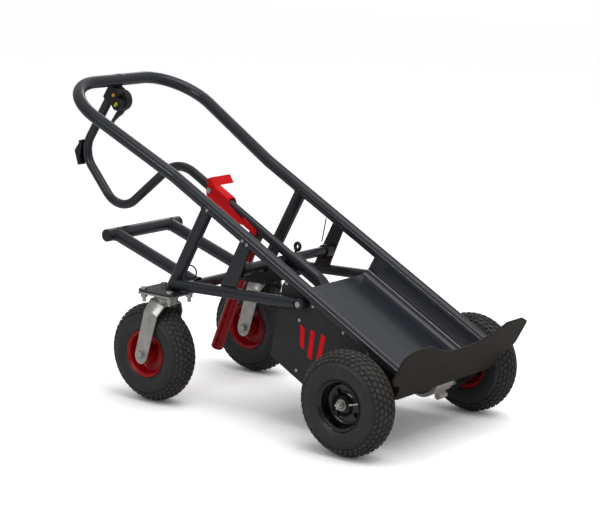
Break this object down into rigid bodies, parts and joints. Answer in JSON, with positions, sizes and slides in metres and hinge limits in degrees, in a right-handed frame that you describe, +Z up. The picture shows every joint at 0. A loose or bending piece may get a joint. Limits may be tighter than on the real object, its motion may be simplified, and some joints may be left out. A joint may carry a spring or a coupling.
{
  "type": "convertible hand truck",
  "caption": "Powered hand truck with a sloping tube frame, toe plate, load tray, drive wheels, swivel casters and a looped control tube.",
  "frame": {"origin": "on the floor, under the middle of the whole object's box", "axes": "+Z up; -Y the way the toe plate faces; +Y towards the operator's handle; +X the operator's left"},
  "size_m": [0.622, 1.3358, 0.8171],
  "materials": {
    "frame_paint": "satin powder coat",
    "tray_paint": "satin powder coat",
    "toe_paint": "satin powder coat",
    "panel_paint": "fine texture powder coat",
    "black_paint": "gloss",
    "black_plastic": "matte",
    "battery_case": "matte",
    "red_paint": "gloss",
    "zinc_plate": "zinc plated",
    "cast_alloy": "as cast",
    "tyre_rubber": "matte",
    "orange_plastic": "gloss",
    "yellow_plastic": "gloss"
  },
  "bodies": {
    "chassis": {"right_rail": "frame_paint", "left_rail": "frame_paint", "handle_bow": "frame_paint", "load_tray": "tray_paint", "toe_plate": "toe_paint", "toe_gussets": "black_paint", "spine_tube": "frame_paint", "cross_tube": "frame_paint", "tube_clamps": "black_paint", "control_tube": "frame_paint", "right_side_panel": "panel_paint", "left_side_panel": "panel_paint", "panel_screws": "zinc_plate", "panel_graphics": "red_paint", "battery_box": "black_plastic", "battery_pack": "battery_case", "motor_controller": "black_plastic", "gearbox": "cast_alloy", "drive_motor": "black_paint", "axle_housing": "frame_paint", "axle_brackets": "frame_paint", "right_support_tube": "frame_paint", "left_support_tube": "frame_paint", "rear_legs": "frame_paint", "strut_bars": "panel_paint", "caster_mounts": "frame_paint", "rear_cross_member": "frame_paint", "rear_crossbar": "frame_paint", "frame_tubes": "frame_paint", "frame_end_caps": "black_plastic", "frame_bolts": "zinc_plate", "caster_bolts": "zinc_plate", "lashing_rings": "black_paint", "release_cable": "black_plastic", "accessory_bracket": "black_paint", "control_housing": "black_plastic", "latch_block": "black_plastic", "right_caster_plate": "zinc_plate", "left_caster_plate": "zinc_plate"},
    "right_drive_wheel": {"right_drive_tyre": "tyre_rubber", "right_drive_rim_outer": "black_paint", "right_drive_rim_inner": "red_paint", "right_drive_shaft": "zinc_plate"},
    "right_caster": {"right_caster_fork": "zinc_plate", "right_caster_axle": "zinc_plate"},
    "right_caster_wheel": {"right_caster_tyre": "tyre_rubber", "right_caster_rim": "red_paint"},
    "left_drive_wheel": {"left_drive_tyre": "tyre_rubber", "left_drive_rim_outer": "black_paint", "left_drive_rim_inner": "red_paint", "left_drive_shaft": "zinc_plate"},
    "left_caster": {"left_caster_fork": "zinc_plate", "left_caster_axle": "zinc_plate"},
    "left_caster_wheel": {"left_caster_tyre": "tyre_rubber", "left_caster_rim": "red_paint"},
    "latch_lever": {"latch_lever": "red_paint"},
    "foot_bar": {"foot_bar": "red_paint"},
    "brake_lever": {"brake_lever": "black_plastic"},
    "power_button": {"power_button": "orange_plastic"},
    "speed_rocker": {"speed_rocker": "yellow_plastic"}
  },
  "joints": [
    {"name": "right_drive_wheel_spin", "type": "hinge", "parent": "chassis", "child": "right_drive_wheel", "pos_m": [-0.2685, -0.49708, 0.13], "axis": [1, 0, 0], "continuous": true},
    {"name": "right_caster_swivel", "type": "hinge", "parent": "chassis", "child": "right_caster", "pos_m": [-0.207, 0.13892, 0.285], "axis": [0, 0, 1], "continuous": true},
    {"name": "right_caster_wheel_spin", "type": "hinge", "parent": "right_caster", "child": "right_caster_wheel", "pos_m": [-0.207, 0.18191, 0.13], "axis": [1, 0, 0], "continuous": true},
    {"name": "left_drive_wheel_spin", "type": "hinge", "parent": "chassis", "child": "left_drive_wheel", "pos_m": [0.2685, -0.49708, 0.13], "axis": [1, 0, 0], "continuous": true},
    {"name": "left_caster_swivel", "type": "hinge", "parent": "chassis", "child": "left_caster", "pos_m": [0.207, 0.13892, 0.285], "axis": [0, 0, 1], "continuous": true},
    {"name": "left_caster_wheel_spin", "type": "hinge", "parent": "left_caster", "child": "left_caster_wheel", "pos_m": [0.207, 0.18191, 0.13], "axis": [1, 0, 0], "continuous": true},
    {"name": "latch_lever_lift", "type": "hinge", "parent": "chassis", "child": "latch_lever", "pos_m": [0, 0.16068, 0.53652], "axis": [1, 0, 0], "range_deg": [-15, 0]},
    {"name": "foot_bar_swing", "type": "hinge", "parent": "chassis", "child": "foot_bar", "pos_m": [0, 0.01789, 0.42421], "axis": [1, 0, 0], "range_deg": [-20, 0], "stiffness_Nm_per_rad": 3, "springref_deg": 20.05},
    {"name": "brake_lever_squeeze", "type": "hinge", "parent": "chassis", "child": "brake_lever", "pos_m": [0.01, 0.50067, 0.72385], "axis": [1, 0, 0], "range_deg": [0, 16], "stiffness_Nm_per_rad": 0.6, "springref_deg": -20.05},
    {"name": "power_button_press", "type": "slide", "parent": "chassis", "child": "power_button", "axis": [1, 0, 0], "range_m": [0, 0.0025], "stiffness_N_per_m": 300, "springref_m": -0.002},
    {"name": "speed_rocker_tilt", "type": "hinge", "parent": "chassis", "child": "speed_rocker", "pos_m": [-0.0175, 0.49802, 0.73525], "axis": [0, 0.838, 0.5457], "range_deg": [-6, 6], "stiffness_Nm_per_rad": 0.2}
  ]
}
